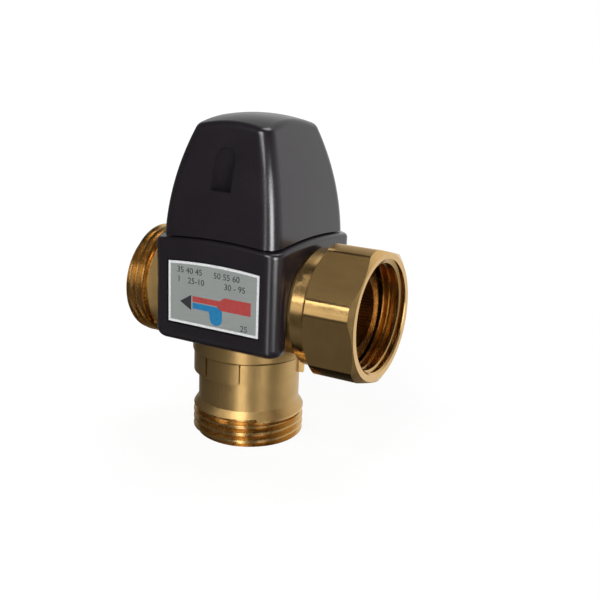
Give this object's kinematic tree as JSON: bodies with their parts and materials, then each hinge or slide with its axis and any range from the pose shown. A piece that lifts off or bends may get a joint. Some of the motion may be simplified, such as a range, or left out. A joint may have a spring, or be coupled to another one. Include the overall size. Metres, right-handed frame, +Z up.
{
  "type": "thermostatic mixing valve",
  "caption": "Brass tee mixing valve with threaded outlet and cold inlet, a rotating union nut on the hot inlet and a black tapered cap over the setting knob.",
  "frame": {"origin": "centre of the bottom port's end face, where the cold water comes in", "axes": "+Z up along the valve's own axis, +X towards the union nut of the hot inlet, -Y towards the label"},
  "size_m": [0.0764, 0.0442, 0.0946],
  "materials": {
    "cast_brass": "cast and turned, satin",
    "turned_brass": "turned, bright",
    "sensor_brass": "turned",
    "spring_steel": "stainless wire",
    "zinc_steel": "zinc plated",
    "black_rubber": "smooth",
    "black_plastic": "moulded, satin sheen",
    "grey_plastic": "moulded",
    "silver_label": "silver foil, printed"
  },
  "bodies": {
    "valve": {"valve_body": "cast_brass", "nut_snap_ring": "spring_steel", "bonnet": "turned_brass", "bonnet_seal": "black_rubber", "return_spring": "spring_steel", "housing": "black_plastic", "housing_screws": "zinc_steel", "label": "silver_label", "scale_ring": "grey_plastic"},
    "nut": {"union_nut": "turned_brass"},
    "setting": {"setting_knob": "grey_plastic", "knob_screw": "zinc_steel", "setting_spindle": "turned_brass", "spindle_clip": "spring_steel", "spindle_seal": "black_rubber"},
    "spring_carrier": {"spring_cup": "turned_brass", "cup_clip": "spring_steel", "push_disc": "spring_steel", "overload_spring": "spring_steel", "sensor_piston": "spring_steel"},
    "shuttle": {"sensor_element": "sensor_brass", "hot_disc": "sensor_brass", "cold_disc": "sensor_brass"},
    "cover_cap": {"cap": "black_plastic"}
  },
  "joints": [
    {"name": "nut_spin", "type": "hinge", "parent": "valve", "child": "nut", "pos_m": [0.03, 0, 0.042], "axis": [1, 0, 0], "continuous": true},
    {"name": "knob_turn", "type": "hinge", "parent": "valve", "child": "setting", "pos_m": [0, 0, 0.07], "axis": [0, 0, 1], "range_deg": [-150.5, 150.5]},
    {"name": "setting_travel", "type": "slide", "parent": "valve", "child": "spring_carrier", "axis": [0, 0, 1], "range_m": [-0.00083, 0.00083]},
    {"name": "sensor_stroke", "type": "slide", "parent": "spring_carrier", "child": "shuttle", "axis": [0, 0, -1], "range_m": [0, 0.003], "stiffness_N_per_m": 2500, "springref_m": -0.006, "deforming": ["return_spring"]},
    {"name": "cap_lift", "type": "slide", "parent": "valve", "child": "cover_cap", "axis": [0, 0, 1], "range_m": [0, 0.045]}
  ],
  "couplings": [
    {"joint": "knob_turn", "follows": "setting_travel", "rad_per_m": 3141.6}
  ]
}
